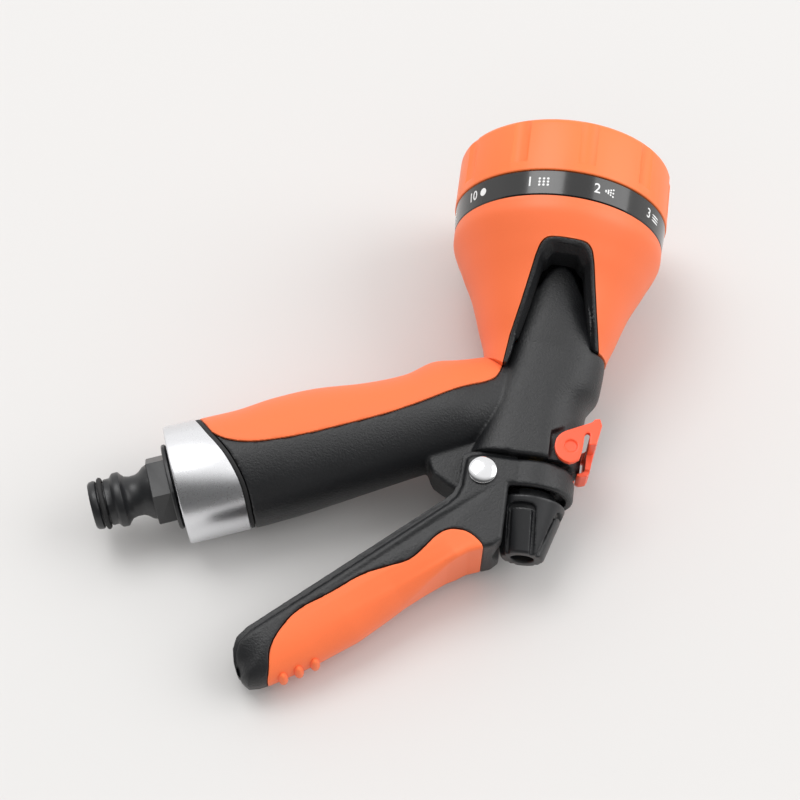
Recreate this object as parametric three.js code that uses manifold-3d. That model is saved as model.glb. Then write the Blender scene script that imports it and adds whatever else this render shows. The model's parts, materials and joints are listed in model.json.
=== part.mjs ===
// Rear-trigger garden spray nozzle with a ten-pattern dial, in millimetres, +Z up.
// The pieces are laid out on the nozzle's own axes: +Y is the spray direction, +Z is
// square to the nozzle's plane of symmetry, and the origin is where the barrel's axis
// meets the handle's. The outer group then turns the whole nozzle into the way it lies.
import * as THREE from 'three';
import { mergeVertices } from 'three/addons/utils/BufferGeometryUtils.js';
import Module from 'manifold-3d';

const wasm = await Module();
wasm.setup();

// ---- driving dimensions ----
const gap = 0.3;                 // clearance between pieces that touch
const through = 1;               // how far a cutter runs past the face it cuts
const fine = 36;                 // facets round a large turned piece
const coarse = 16;               // facets round a small turned piece

const handleAngle = 112.4;       // degrees from the spray direction to the hose direction
const handleOffset = -2.1;       // how far the handle's axis passes the origin
const handleLength = 126.9;      // from the origin to the end of the handle tube
const drawnLength = 126.9;       // length that the handle's side outlines are drawn for
const handleBore = 8;

const barrelRadius = 16;
const barrelBack = -30;          // back end of the barrel
const barrelFront = 11.6;
const chamberRadius = 8.6;
const chamberFront = 6.7;
const glandRadius = 9.4;
const glandFront = -17.3;
const outletRadius = 6;
const coreRadius = 10;
const coreFront = 16;
const tongueFront = 40.5;
const tongueHalf = 12.4;
const tongueWall = 3;

const coneWall = 2.4;
const coneFront = 56.3;
const coneBackRadius = 21.3;
const archFront = 42.8;
const archCentre = 2.3;          // the windows stand a little towards the front of the nozzle
const archHalf = 15.2;
const archRim = 2.2;

const dialRadius = 38;
const coneFrontRadius = dialRadius - 1;
const drawnRadius = 37;          // front radius that the cone's side outline is drawn for
const dialBack = 66;
const dialFront = 86.9;
const dialWall = 4;
const dialLip = 3.5;
const patterns = 10;
const bandBack = 56.7;
const bandRadius = dialRadius - 0.4;
const bandWall = 2.4;
const portRadius = 20;           // radius of the circle that the ports lie on
const portBore = 2.6;
const portPlateRadius = coneFrontRadius * 0.975 - coneWall - 0.4;
const turretRadius = bandRadius - bandWall - 0.8;
const sprayPlateRadius = dialRadius - dialWall - 0.4;
const detentRadius = portPlateRadius - 4.3;   // where the detent ball stands
const plateFront = dialFront - dialLip - gap;
const plateBack = plateFront - 3.1;

const stemRadius = 3;
const stemThread = 2.5;
const poppetRadius = 6.8;
const seatBore = 5;
const springWire = 0.65;
const guideWall = 1.1;           // tube in the gland nut that guides the stem
const springRadius = stemRadius + gap + guideWall + 0.55 + springWire;
const springTurns = 5;

const pivot = new THREE.Vector2(-16.6, -37.2);   // trigger rivet
const rivetRadius = 2.3;
const rivetHead = 4.85;
const leverHalf = 14;            // half the trigger's width at the rivet
const leverTipHalf = 8.7;
const cheekInner = 8.6;          // half the space between the trigger's cheeks
const lugHalf = cheekInner - gap * 2;
const yokeBack = -40.6;
const yokeFront = -31.3;
const yokeRadius = 14.8;
const yokePlate = 6;
const liftRadius = 9;
const liftFront = -39.3;
const liftBack = -42;
const padReach = 7.5;            // where the yoke's ridge presses on the lift collar

const knobFront = -42.7;
const knobBack = -61.6;
const knobFrontRadius = 12.5;
const knobBackRadius = 7.5;
const knobRibs = 4;
const knobRibWidth = 7.8;

const clipPivot = new THREE.Vector2(11.5, -25);
const clipInner = 13;            // half the space between the clip's cheeks
const clipOuter = 15.2;
const clipPin = 1.3;
const clawHalf = 5;

const collarRadius = 20.3;
const collarWall = 1.9;
const collarEnd = handleLength + 2.1;
const inletFloor = collarEnd - 17;
const adapterSpigot = 11;
const adapterBore = 5.5;
const adapterTip = collarEnd + 29;
const adapterTipRadius = 8.3;
const hexAcross = 21;

// ---- solids ----
function solid(geometry) {
  const bare = geometry.clone();
  bare.deleteAttribute('normal');
  bare.deleteAttribute('uv');
  const merged = mergeVertices(bare, 1e-4);
  const index = merged.index.array;
  const kept = [];
  for (let i = 0; i < index.length; i += 3) {
    const [a, b, c] = [index[i], index[i + 1], index[i + 2]];
    if (a !== b && b !== c && c !== a) kept.push(a, b, c);
  }
  return new wasm.Manifold(new wasm.Mesh({
    numProp: 3,
    vertProperties: new Float32Array(merged.attributes.position.array),
    triVerts: new Uint32Array(kept),
  }));
}

function geometryOf(body) {
  const mesh = body.getMesh();
  const geometry = new THREE.BufferGeometry();
  geometry.setAttribute('position', new THREE.BufferAttribute(mesh.vertProperties, 3));
  geometry.setIndex(new THREE.BufferAttribute(mesh.triVerts, 1));
  geometry.computeVertexNormals();
  return geometry;
}

// A turned piece on the Y axis. Each point is [radius, height]; a ring is closed on itself.
function turned(points, segments = fine) {
  const onAxis = points[0][0] === 0;
  const outline = points.map(([r, y]) => new THREE.Vector2(r, y));
  if (!onAxis) outline.push(outline[0].clone());
  const area = outline.reduce((sum, p, i) => {
    const q = outline[(i + 1) % outline.length];
    return sum + p.x * q.y - q.x * p.y;
  }, 0);
  if (area < 0) outline.reverse();
  return solid(new THREE.LatheGeometry(outline, segments));
}

function ring(inner, outer, back, front, segments = fine) {
  return turned([[inner, back], [outer, back], [outer, front], [inner, front]], segments);
}

function disc(radius, back, front, segments = fine) {
  return turned([[0, back], [radius, back], [radius, front], [0, front]], segments);
}

function hexNut(bore, across, back, front) {
  const hex = new THREE.CylinderGeometry(across / Math.sqrt(3), across / Math.sqrt(3), front - back, 6);
  return solid(hex.translate(0, (back + front) / 2, 0)).subtract(disc(bore, back - through,
    front + through, coarse));
}

// A flat outline in X and Y, given its depth along Z.
function prism(points, low, high) {
  const shape = new THREE.Shape(points.map((p) => (p.isVector2 ? p : new THREE.Vector2(...p))));
  const geometry = new THREE.ExtrudeGeometry(shape, { depth: high - low, bevelEnabled: false });
  return solid(geometry.translate(0, 0, low));
}

function pinAlongZ(centre, radius, low, high, segments = coarse) {
  const geometry = new THREE.CylinderGeometry(radius, radius, high - low, segments);
  geometry.rotateX(Math.PI / 2).translate(centre.x, centre.y, (low + high) / 2);
  return solid(geometry);
}

function pinAlongY(x, z, radius, low, high, segments = 12) {
  const geometry = new THREE.CylinderGeometry(radius, radius, high - low, segments);
  return solid(geometry.translate(x, (low + high) / 2, z));
}

function box(low, high) {
  const size = high.map((value, i) => value - low[i]);
  const geometry = new THREE.BoxGeometry(...size);
  return solid(geometry.translate(...high.map((value, i) => (value + low[i]) / 2)));
}

function aroundY(body, degrees) {
  return body.rotate([0, degrees, 0]);
}

// Radius against place, read off a smooth curve through [place, radius] pairs.
function profile(pairs) {
  return (at) => {
    const last = pairs.length - 1;
    if (at <= pairs[0][0]) return pairs[0][1];
    if (at >= pairs[last][0]) return pairs[last][1];
    const i = pairs.findIndex(([place]) => place > at) - 1;
    const [x0, y0] = pairs[i];
    const [x1, y1] = pairs[i + 1];
    const slope = (a, b) => (pairs[b][1] - pairs[a][1]) / (pairs[b][0] - pairs[a][0]);
    const m0 = i > 0 ? slope(i - 1, i + 1) : slope(i, i + 1);
    const m1 = i + 2 <= last ? slope(i, i + 2) : slope(i, i + 1);
    const t = (at - x0) / (x1 - x0);
    const h = x1 - x0;
    return (2 * t ** 3 - 3 * t ** 2 + 1) * y0 + (t ** 3 - 2 * t ** 2 + t) * h * m0
      + (3 * t ** 2 - 2 * t ** 3) * y1 + (t ** 3 - t ** 2) * h * m1;
  };
}

function helix(radius, wire, turns, back, front, stepsPerTurn, sides) {
  class Coil extends THREE.Curve {
    getPoint(t, target = new THREE.Vector3()) {
      const angle = t * turns * 2 * Math.PI;
      return target.set(radius * Math.cos(angle), back + (front - back) * t, radius * Math.sin(angle));
    }
  }
  const section = new THREE.Shape();
  section.absarc(0, 0, wire, 0, 2 * Math.PI, false);
  return new THREE.ExtrudeGeometry(section, {
    steps: Math.round(turns * stepsPerTurn),
    curveSegments: sides,
    extrudePath: new Coil(),
    bevelEnabled: false,
  });
}

// ---- assembly groups ----
const nozzle = new THREE.Group();        // the nozzle's own axes
const handle = new THREE.Group();        // +Y towards the hose, +X towards the spray side
handle.rotation.z = handleAngle * THREE.MathUtils.DEG2RAD;
handle.position.set(handleOffset, 0, 0).applyEuler(handle.rotation);
nozzle.add(handle);

function place(group, name, body, colour, roughness, metalness = 0) {
  const geometry = body.isBufferGeometry ? body : geometryOf(body);
  const material = new THREE.MeshStandardMaterial({ color: colour, roughness, metalness });
  const mesh = new THREE.Mesh(geometry, material);
  mesh.name = name;
  group.add(mesh);
}

const black = 0x2c2d2e;
const orange = 0xf4793f;
const brass = 0xb59a5a;
const steel = 0xc9ccd0;
const rubber = 0x1b1b1c;

// ---- handle outline: a loft along the handle's own +Y ----
const spraySide = profile([[0, 18.1], [15, 18.3], [25, 19.4], [34, 20.9], [44, 18.7], [58, 19],
  [76, 21.4], [91, 21.4], [103, 20.1], [114, 20.1], [130, 20.1]]);
const triggerSide = profile([[0, 13.9], [44, 16.4], [70, 18.4], [91, 20], [110, 20.4], [130, 20.3]]);
const handleHalf = profile([[0, 13.4], [12, 13.7], [20, 14.6], [30, 16.2], [45, 16.5], [60, 17.2],
  [80, 18.6], [100, 19.8], [112, 20.3], [130, 20.3]]);

function handleLoft(inset, from, to, rows = 14, segments = 32) {
  const geometry = new THREE.CylinderGeometry(1, 1, to - from, segments, rows);
  const position = geometry.attributes.position;
  for (let i = 0; i < position.count; i += 1) {
    const along = position.getY(i) + (from + to) / 2;
    const across = position.getX(i);
    const drawn = along / stretch;
    const side = (across > 0 ? spraySide(drawn) : triggerSide(drawn)) - inset;
    const width = handleHalf(drawn) - inset;
    position.setXYZ(i, across * side, along, position.getZ(i) * width);
  }
  return solid(geometry);
}

// Lower edge of the soft grip on the handle's side, as [across, along] in the handle's axes.
const stretch = handleLength / drawnLength;
const gripEdge = [[17.5, 7.7], [8, 13.7], [5.1, 18.2], [4.4, 29], [2.5, 43], [1.2, 54], [0.5, 68],
  [0.1, 84], [0.9, 97], [2.9, 105.6], [6.8, 111.6], [13, 115.5], [20.5, 116.5]];

function gripRegion() {
  const edge = new THREE.SplineCurve(gripEdge.map(([v, u]) => new THREE.Vector2(v, u * stretch)));
  const outline = [...edge.getPoints(24), new THREE.Vector2(26, 116.5 * stretch),
    new THREE.Vector2(26, 4)];
  return prism(outline, -halfDepth, halfDepth);
}

// A flat region with the gap added round it.
function grown(region) {
  const shifts = [[gap, 0], [-gap, 0], [0, gap], [0, -gap]];
  return shifts.reduce((sum, [x, y]) => sum.add(region.translate([x, y, 0])), region);
}

const halfDepth = 30;
const toNozzle = (body) => body.translate([handleOffset, 0, 0]).rotate([0, 0, handleAngle]);
const toHandle = (body) => body.rotate([0, 0, -handleAngle]).translate([-handleOffset, 0, 0]);

// Everything past the swept edge of the collar, in the handle's axes.
const collarEdge = [[-30, 109.2], [-19, 108.2], [-11, 108.3], [-2, 110.6], [4, 113], [10, 115.6],
  [20, 118.6], [30, 120]];

function pastCollarEdge(shift) {
  const edge = new THREE.SplineCurve(collarEdge.map(([v, u]) => new THREE.Vector2(v,
    u * stretch + shift)));
  return prism([...edge.getPoints(16), new THREE.Vector2(30, adapterTip),
    new THREE.Vector2(-30, adapterTip)], -halfDepth, halfDepth);
}

// ---- head cone ----
const coneSwell = (coneFrontRadius - coneBackRadius) / (drawnRadius - coneBackRadius);
const coneProfile = profile([[0, 20], [barrelFront, coneBackRadius], [20, 24], [30, 27.2], [35, 29.2],
  [40, 31.6], [44, 33.4], [48, 35.3], [52, 36.8], [coneFront, drawnRadius]]
  .map(([y, r]) => [y, coneBackRadius + (r - coneBackRadius) * (y > barrelFront ? coneSwell : 1)]));

function coneSolid(growth, back = barrelFront, front = coneFront, steps = 8) {
  const places = [];
  for (let i = 0; i <= steps; i += 1) places.push(back + ((front - back) * i) / steps);
  return turned([[0, back], ...places.map((y) => [coneProfile(y) + growth, y]), [0, front]]);
}

// Outline of the arched window, open at the back; inset shrinks it.
function archOutline(inset) {
  const front = archFront - inset;
  const crown = 3.6;
  const shape = new THREE.Shape();
  shape.moveTo(-archHalf - 1.6 + inset, 0);
  shape.lineTo(archHalf + 1.6 - inset, 0);
  shape.lineTo(archHalf - inset, 12);
  shape.lineTo(archHalf - 5.3 - inset, archFront - 5.8);
  shape.quadraticCurveTo(archHalf - 6.6 - inset, front, crown, front);
  shape.lineTo(-crown, front);
  shape.quadraticCurveTo(6.6 - archHalf + inset, front, 5.3 - archHalf + inset, archFront - 5.8);
  shape.lineTo(inset - archHalf, 12);
  return shape.getPoints(5).map((p) => p.add(new THREE.Vector2(archCentre, 0)));
}

// The cone's back edge runs down to the handle's grip beside each window.
const lipOutline = [[-14.1, 14], [-14.5, 2.6], [-18, 5.5], [-24, 10.4], [-24, 14]];

function coneLip(growth) {
  const middle = [-18, 9];
  const outline = lipOutline
    .map(([x, y]) => [x + Math.sign(x - middle[0]) * growth, y + Math.sign(y - middle[1]) * growth]);
  const outside = coneSolid(growth, 0, barrelFront + gap, 4);
  const inside = coneSolid(-coneWall - growth, -through, barrelFront + 2, 4);
  return outside.subtract(inside).intersect(prism(outline, -halfDepth, halfDepth));
}

function headCone() {
  const shell = coneSolid(0).subtract(coneSolid(-coneWall, barrelFront - through, coneFront + through));
  const window = prism(archOutline(-gap), -60, 60);
  return shell.subtract(window).add(coneLip(0));
}

function archTrim(side) {
  const frame = prism(archOutline(0), 0, 60).subtract(prism(archOutline(archRim), -through, 61));
  const inside = turned([[0, 0], [barrelRadius + gap, 0], [barrelRadius + gap, tongueFront + 0.5],
    [barrelRadius + 5.5, archFront + 0.7], [0, archFront + 0.7]]);
  const trim = frame.intersect(coneSolid(0.2)).subtract(inside);
  return side > 0 ? trim : trim.mirror([0, 0, 1]);
}

// ---- body: barrel, handle tube, tongues inside the windows and trigger lug ----
function barrelSolid() {
  const barrel = turned([[0, barrelBack], [barrelRadius + 0.2, barrelBack], [barrelRadius, -15],
    [barrelRadius, barrelFront - gap], [coreRadius, barrelFront - gap], [coreRadius, coreFront],
    [0, coreFront]]);
  const shoulder = prism([[0, barrelFront - gap], [20.9, barrelFront - gap], [20, 0], [19.4, -2],
    [17.3, -5], [16, -9.5], [0, -9.5]], -9, 9);
  return barrel.add(shoulder).add(saddle(0)).add(tongue(1)).add(tongue(-1));
}

// The barrel flares towards the handle, with a squarer section than a circle.
const saddleReach = profile([[barrelBack, 21.5], [-18, 18], [-7, 15.4], [0, 14.4]]);

function saddle(growth) {
  const front = 0;
  const squareness = 0.5;
  const geometry = new THREE.CylinderGeometry(1, 1, front - barrelBack, 32, 6);
  const position = geometry.attributes.position;
  for (let i = 0; i < position.count; i += 1) {
    const [x, z] = [position.getX(i), position.getZ(i)];
    const along = position.getY(i) + (front + barrelBack) / 2;
    const reach = x < 0 ? saddleReach(along) + growth : barrelRadius / 2;
    const wide = Math.sign(x) * Math.abs(x) ** squareness * reach;
    const high = Math.sign(z) * Math.abs(z) ** squareness * (barrelRadius - gap / 2 + growth);
    position.setXYZ(i, wide, along, high);
  }
  return solid(geometry);
}

// The barrel's front end, which shows through the window as a long bullet shape.
function tongue(side) {
  const shape = new THREE.Shape();
  const back = barrelFront - 3;
  const middle = barrelFront + 7;
  shape.moveTo(archCentre - tongueHalf, back);
  shape.lineTo(archCentre + tongueHalf, back);
  shape.lineTo(archCentre + tongueHalf, middle);
  shape.quadraticCurveTo(archCentre + 8.6, tongueFront, archCentre, tongueFront);
  shape.quadraticCurveTo(archCentre - 8.6, tongueFront, archCentre - tongueHalf, middle);
  const bullet = prism(shape.getPoints(7), 0, halfDepth);
  const shell = ring(barrelRadius - tongueWall, barrelRadius, back, tongueFront);
  return shell.intersect(side > 0 ? bullet : bullet.mirror([0, 0, 1]));
}

function lugOutline() {
  return [[-40, -24], [-33.5, -37.2], [-32.5, -38.6], [-23.2, -43.8], [pivot.x, pivot.y - 5],
    [pivot.x + 6, pivot.y], [pivot.x + 6, barrelBack + 2], [-12, -20]];
}

function bodyShell() {
  const outer = handleLoft(0, 0, handleLength);
  const core = handleLoft(1.8 + gap, 0, handleLength);
  const collarSeat = ring(collarRadius - collarWall - gap, 30, 90, handleLength + through)
    .intersect(pastCollarEdge(-1.3 - 2 * gap));
  const boss = disc(14.8, handleLength - through, collarEnd + 0.2);
  const handleBody = outer.subtract(grown(gripRegion())).add(core).subtract(collarSeat).add(boss);
  const inlet = disc(adapterSpigot + gap, inletFloor, collarEnd + 5)
    .add(disc(handleBore, 0, collarEnd + 5, coarse));
  const lug = prism(lugOutline(), -lugHalf, lugHalf).add(pinAlongZ(pivot, 6, -lugHalf, lugHalf));
  const rear = turned([[0, barrelBack - through], [glandRadius + gap, barrelBack - through],
    [glandRadius + gap, glandFront], [chamberRadius, glandFront], [chamberRadius, chamberFront],
    [outletRadius, chamberFront], [outletRadius, coreFront + through], [0, coreFront + through]]);
  return toNozzle(handleBody)
    .subtract(coneSolid(gap, barrelFront - gap, coneFront))
    .subtract(coneLip(gap))
    .add(barrelSolid())
    .add(lug)
    .subtract(yokeSweep())
    .subtract(rear)
    .subtract(toNozzle(inlet))
    .subtract(clipPocket(1))
    .subtract(clipPocket(-1))
    .subtract(pinAlongZ(clipPivot, clipPin + gap, -halfDepth, halfDepth, 12))
    .subtract(pinAlongZ(pivot, rivetRadius + gap, -halfDepth, halfDepth));
}

// Room behind the barrel for the yoke, and beside the lug for the cheeks.
function yokeSweep() {
  const cheek = prism([[-26.5, -46], [-25.5, -36], [-22, -29.6], [-8, -29.6], [-8, -46]],
    cheekInner - gap, 20);
  const other = cheek.mirror([0, 0, 1]);
  return cheek.add(other);
}

function clipPocket(side) {
  const pocket = prism([[4.5, -31], [4.5, -20.5], [7, -19.2], [14, -14.5], [20, -12], [24, -12],
    [24, -31]],
    clipInner - gap, 25);
  return side > 0 ? pocket : pocket.mirror([0, 0, 1]);
}

// ---- handle pieces, in the handle's axes ----
function handleGrip() {
  const shell = handleLoft(0, 0, handleLength - 5).subtract(handleLoft(1.8, -through, handleLength - 4));
  const kept = shell.intersect(gripRegion());
  const clear = coneSolid(gap, barrelFront - gap, coneFront)
    .add(disc(barrelRadius + gap, barrelBack - 5, coneFront))
    .add(prism([[0, barrelFront], [20.6, barrelFront], [20.6, -12], [0, -12]], -9.5, 9.5))
    .add(coneLip(gap))
    .add(saddle(gap))
    .add(prism([[-14, barrelFront], [-14.4, 2.4], [-10, 0], [-10, barrelFront]], -halfDepth, halfDepth));
  return kept.subtract(toHandle(clear)).subtract(pastCollarEdge(-1.3 - 2 * gap));
}

function collarRing() {
  const tube = turned([[collarRadius - collarWall, 100], [collarRadius, 100],
    [collarRadius, collarEnd - 0.6],
    [collarRadius - 0.6, collarEnd], [15.1, collarEnd], [15.1, collarEnd - 1.8],
    [collarRadius - collarWall, collarEnd - 1.8]]);
  return tube.intersect(pastCollarEdge(0));
}

function collarSeal() {
  return ring(collarRadius - collarWall, collarRadius - 0.5, 100, collarEnd)
    .intersect(pastCollarEdge(-1.3 - gap)).subtract(pastCollarEdge(-gap));
}

function hoseAdapter() {
  const flange = collarEnd + 0.6;
  const hexEnd = 20.5;
  const neck = [[9.5, hexEnd], [8.9, 19], [7, 16.5], [6.9, 14], [7.6, 12], [9.3, 10.8], [9.3, 8.4],
    [7.9, 7.4], [7.9, 5.4], [6.9, 5.3], [6.9, 2.7], [8.1, 2.6]];
  const body = turned([[adapterBore, inletFloor + 3.6], [adapterSpigot, inletFloor + 3.6],
    [adapterSpigot, flange], [14.6, flange], [14.6, flange + 1.6], [9.5, flange + 1.6],
    ...neck.map(([r, back]) => [r, adapterTip - back]),
    [adapterTipRadius, adapterTip - 1.8], [adapterTipRadius - 0.5, adapterTip],
    [adapterBore, adapterTip]], 24);
  return body.add(hexNut(8, hexAcross, flange + 1, adapterTip - hexEnd));
}

function torus(centreRadius, minor, height, segments = 20, around = 6) {
  const points = [];
  for (let i = 0; i < around; i += 1) {
    const angle = (2 * Math.PI * i) / around;
    points.push([centreRadius + minor * Math.cos(angle), height + minor * Math.sin(angle)]);
  }
  return turned(points, segments);
}

function inletFilter() {
  let plate = disc(adapterSpigot - 0.2, inletFloor + 2.3, inletFloor + 3.3, coarse);
  for (let i = 0; i < 6; i += 1) {
    const angle = (i * Math.PI) / 3;
    const hole = pinAlongY(4.6 * Math.cos(angle), 4.6 * Math.sin(angle), 1.6, inletFloor,
      inletFloor + 6, 8);
    plate = plate.subtract(hole);
  }
  return plate;
}

// ---- valve ----
function valveStem() {
  return turned([[0, -57.5], [stemThread, -57.5], [stemThread, liftFront], [stemRadius, liftFront],
    [stemRadius, -1.5], [poppetRadius, -1.5], [poppetRadius, 0.4], [2, 0.4], [2, 5.6], [0, 5.6]], coarse);
}

// The gland has a deep pocket that takes the spring as the stem draws back.
function glandNut() {
  const floor = barrelBack + 4.4;
  const sealRoom = stemRadius + gap + 1.9;
  return turned([[stemRadius + gap, barrelBack + 0.5 + 1.9], [sealRoom, barrelBack + 0.5 + 1.9],
    [sealRoom, barrelBack + 0.5], [glandRadius, barrelBack + 0.5], [glandRadius, glandFront - gap],
    [springRadius + 1.7, glandFront - gap],
    [springRadius + 1.7, floor], [stemRadius + gap + guideWall, floor],
    [stemRadius + gap + guideWall, glandFront - gap],
    [stemRadius + gap, glandFront - gap]]);
}

// ---- flow knob ----
function flowKnob() {
  const radiusAt = (y) => knobBackRadius
    + ((knobFrontRadius - knobBackRadius) * (y - knobBack - 1.2)) / (knobFront - knobBack - 1.2);
  let knob = turned([[stemThread + gap, knobFront], [knobFrontRadius - 0.6, knobFront],
    [knobFrontRadius, knobFront - 0.8], [knobBackRadius, knobBack + 1.2],
    [knobBackRadius - 0.8, knobBack],
    [3.8, knobBack], [3.8, -57.8], [4.9, -57.8], [4.9, -44.3], [stemThread + gap, -44.3]]);
  for (let i = 0; i < knobRibs; i += 1) {
    for (const side of [-1, 1]) {
      const groove = pinAlongY((side * knobRibWidth) / 2, radiusAt(-52) - 0.2, 0.8, knobBack - through,
        -46, 8);
      knob = knob.subtract(aroundY(groove, (i * 360) / knobRibs - 12));
    }
  }
  return knob;
}

// ---- trigger ----
const leverAlong = new THREE.Vector2(-60, -55).normalize();
const leverOutline = [[-22.2, -33.4], [-22.6, -43], [-24, -47], [-26.5, -49.7], [-30, -52.8],
  [-84.5, -100], [-88, -105.5], [-87.2, -111.5], [-83, -116.8], [-76, -114.3], [-63, -106],
  [-50, -96.3], [-40, -86.6], [-30, -76], [-24, -70], [-18, -65.6], [-10, -62.5], [-7.6, -60],
  [-7.4, yokeBack], [-4, yokeBack],
  [-4, yokeFront], [-17, yokeFront], [-20.6, -32]];
const gripOutline = [[-13.5, -63], [-16, -60.5], [-20, -58.5], [-25, -58.6], [-29, -61], [-32.5, -65.5],
  [-37, -70.3], [-44, -73.6], [-52, -77.5], [-61, -84.5], [-70, -91], [-75, -98], [-77.4, -105],
  [-77, -112], [-78, -124], [-60, -124], [-10, -80]];

function leverTaper(inset) {
  const half = leverHalf - inset;
  const tip = leverTipHalf - inset;
  const outline = [[-60, -half], [26, -half], [44, -half + 1.6], [114, -tip], [114, tip],
    [44, half - 1.6], [26, half], [-60, half]];
  const slab = prism(outline, -60, 60);
  const turn = (Math.atan2(leverAlong.y, leverAlong.x) * 180) / Math.PI;
  return slab.rotate([90, 0, 0]).rotate([0, 0, turn]).translate([pivot.x, pivot.y, 0]);
}

function leverFull() {
  return prism(leverOutline, -leverHalf, leverHalf).intersect(leverTaper(0));
}

function leverCore(growth) {
  const shift = 2.2 - growth;
  const moved = leverOutline.map(([x, y]) => [x + leverAlong.y * shift, y - leverAlong.x * shift]);
  return prism(moved, -leverHalf, leverHalf).intersect(leverTaper(2.2 - growth));
}

function triggerLever() {
  const region = prism(gripOutline, -halfDepth, halfDepth);
  const lever = leverFull().subtract(grown(region)).add(leverFull().intersect(leverCore(0)));
  const yoke = disc(yokeRadius, yokeBack, yokeFront);
  const underYoke = disc(yokeRadius - 2.4, yokeBack - through, yokeFront - yokePlate);
  const room = pinAlongZ(pivot, 7, -cheekInner, cheekInner)
    .add(prism([[pivot.x - 20, -26], [pivot.x - 20, -42], [-28, -50], [-19, -48.5],
      [pivot.x + 1, pivot.y - 4], [pivot.x + 7, pivot.y], [pivot.x + 7, -26]],
      -cheekInner, cheekInner));
  const knobRoom = turned([[0, yokeBack + 0.2], [knobFrontRadius + 1.3, yokeBack + 0.2],
    [knobFrontRadius + 1.3, knobFront], [knobBackRadius + 2, knobBack - 3], [knobBackRadius + 2, -90],
    [0, -90]]);
  const stemHole = disc(stemRadius + 2.6, yokeBack - through, yokeFront + through, coarse);
  const ridge = box([padReach - 1, yokeFront - yokePlate - 1.7, -3.5],
    [padReach + 1, yokeFront - yokePlate + 1, 3.5]);
  const notch = box([13.6, yokeFront - 2.4, -clawHalf - 1.5], [20, yokeFront + through, clawHalf + 1.5]);
  const hollow = prism([[-32, -50], [-34, -59], [-79, -98.5], [-84, -97]], -5.2, 5.2);
  return lever.add(yoke).subtract(underYoke).subtract(room).subtract(knobRoom).subtract(stemHole)
    .add(ridge).subtract(notch)
    .subtract(hollow)
    .subtract(pinAlongZ(pivot, rivetRadius + gap, -halfDepth, halfDepth));
}

function triggerGrip() {
  const region = prism(gripOutline, -halfDepth, halfDepth);
  const knobRoom = turned([[0, yokeBack], [knobFrontRadius + 1.3, yokeBack],
    [knobFrontRadius + 1.3, knobFront],
    [knobBackRadius + 2, knobBack - 3], [knobBackRadius + 2, -90], [0, -90]]);
  return leverFull().intersect(region).subtract(leverCore(gap)).subtract(knobRoom);
}

function leverRivet() {
  const shank = lugHalf + 6.5;
  const head = [];
  for (let i = 0; i <= 3; i += 1) {
    const angle = (i * Math.PI) / 6;
    head.push([rivetHead * Math.cos(angle), leverHalf + gap + 0.5 + 1.3 * Math.sin(angle)]);
  }
  const top = [[rivetRadius, leverHalf + gap], [rivetHead, leverHalf + gap], ...head];
  top[top.length - 1][0] = 0;
  const bottom = top.map(([r, y]) => [r, -y]).reverse();
  return turned([...bottom, ...top], coarse).rotate([90, 0, 0]).translate([pivot.x, pivot.y, 0]);
}

// ---- lock clip ----
function lockClip() {
  const cheek = [[7.2, -21.6], [9, -20], [15.4, -16.8], [17.8, -15.6], [18.6, -14.4], [20.3, -14.2],
    [21.2, -16.5], [19.8, -23], [19, -29.4], [17.6, -30.2], [16.2, -30.6], [17, -28.4], [17.9, -25.5],
    [18.2, -21.8], [17.6, -19.8], [16.4, -19.5], [15.7, -20.6], [15.5, -25.5], [14.6, -29.4],
    [11.5, -30.8], [8, -29.6], [6.1, -26.5], [6.2, -23.5]];
  const bridge = [[17.4, -15.8], [18.6, -14.4], [20.3, -14.2], [21.2, -16.5], [19.8, -23], [19, -29.3],
    [17.3, -29.3], [18.1, -25.5], [18.4, -21.8], [17.8, -19.6]];
  const nose = [[17.6, -27], [18.7, -27.4], [19, -29.4], [17.8, -31.4], [15.6, -31.8], [15.3, -30.8],
    [16.9, -29.8]];
  const plates = prism(cheek, clipInner, clipOuter).add(prism(cheek, -clipOuter, -clipInner));
  const upper = prism(bridge, -clipOuter, clipOuter);
  const claw = prism(nose, -clawHalf, clawHalf);
  return plates.add(upper).add(claw)
    .subtract(pinAlongZ(clipPivot, clipPin + gap, -clipOuter + 1, clipOuter - 1, 12));
}

// ---- spray selector ----
function onPorts(make) {
  return Array.from({ length: patterns }, (_, i) => make((i * 2 * Math.PI) / patterns));
}

function dialRing() {
  let body = turned([[dialRadius - dialWall, dialBack], [dialRadius, dialBack],
    [dialRadius, dialFront - 2], [dialRadius - 0.6, dialFront - 0.7], [dialRadius - 2, dialFront],
    [dialRadius - 6.5, dialFront], [dialRadius - 6.5, dialFront - dialLip],
    [dialRadius - dialWall, dialFront - dialLip]], 40);
  for (const angle of onPorts((a) => a + 9 * THREE.MathUtils.DEG2RAD)) {
    const reach = dialRadius + 3.4;
    body = body.subtract(pinAlongY(reach * Math.sin(angle), reach * Math.cos(angle), 4.6, dialBack + 3,
      dialFront + through, 10));
  }
  return body;
}

function indexBand() {
  return turned([[bandRadius - bandWall, bandBack], [bandRadius - 0.6, bandBack],
    [bandRadius, dialBack - gap], [bandRadius - bandWall, dialBack - gap]], 40);
}

function portPlate() {
  let plate = disc(portPlateRadius, 50, 58).subtract(disc(portPlateRadius - 7.3, 49, 53))
    .subtract(disc(1.8, 49, 59, 12));
  plate = plate.subtract(pinAlongY(0, portRadius, portBore, 49, 59));
  plate = plate.subtract(ring(portBore + 0.9, portBore + 2.6, 56.4, 59, coarse)
    .translate([0, 0, portRadius]));
  return plate.subtract(pinAlongY(detentRadius, 0, 2.4, 51.5, 59));
}

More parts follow.
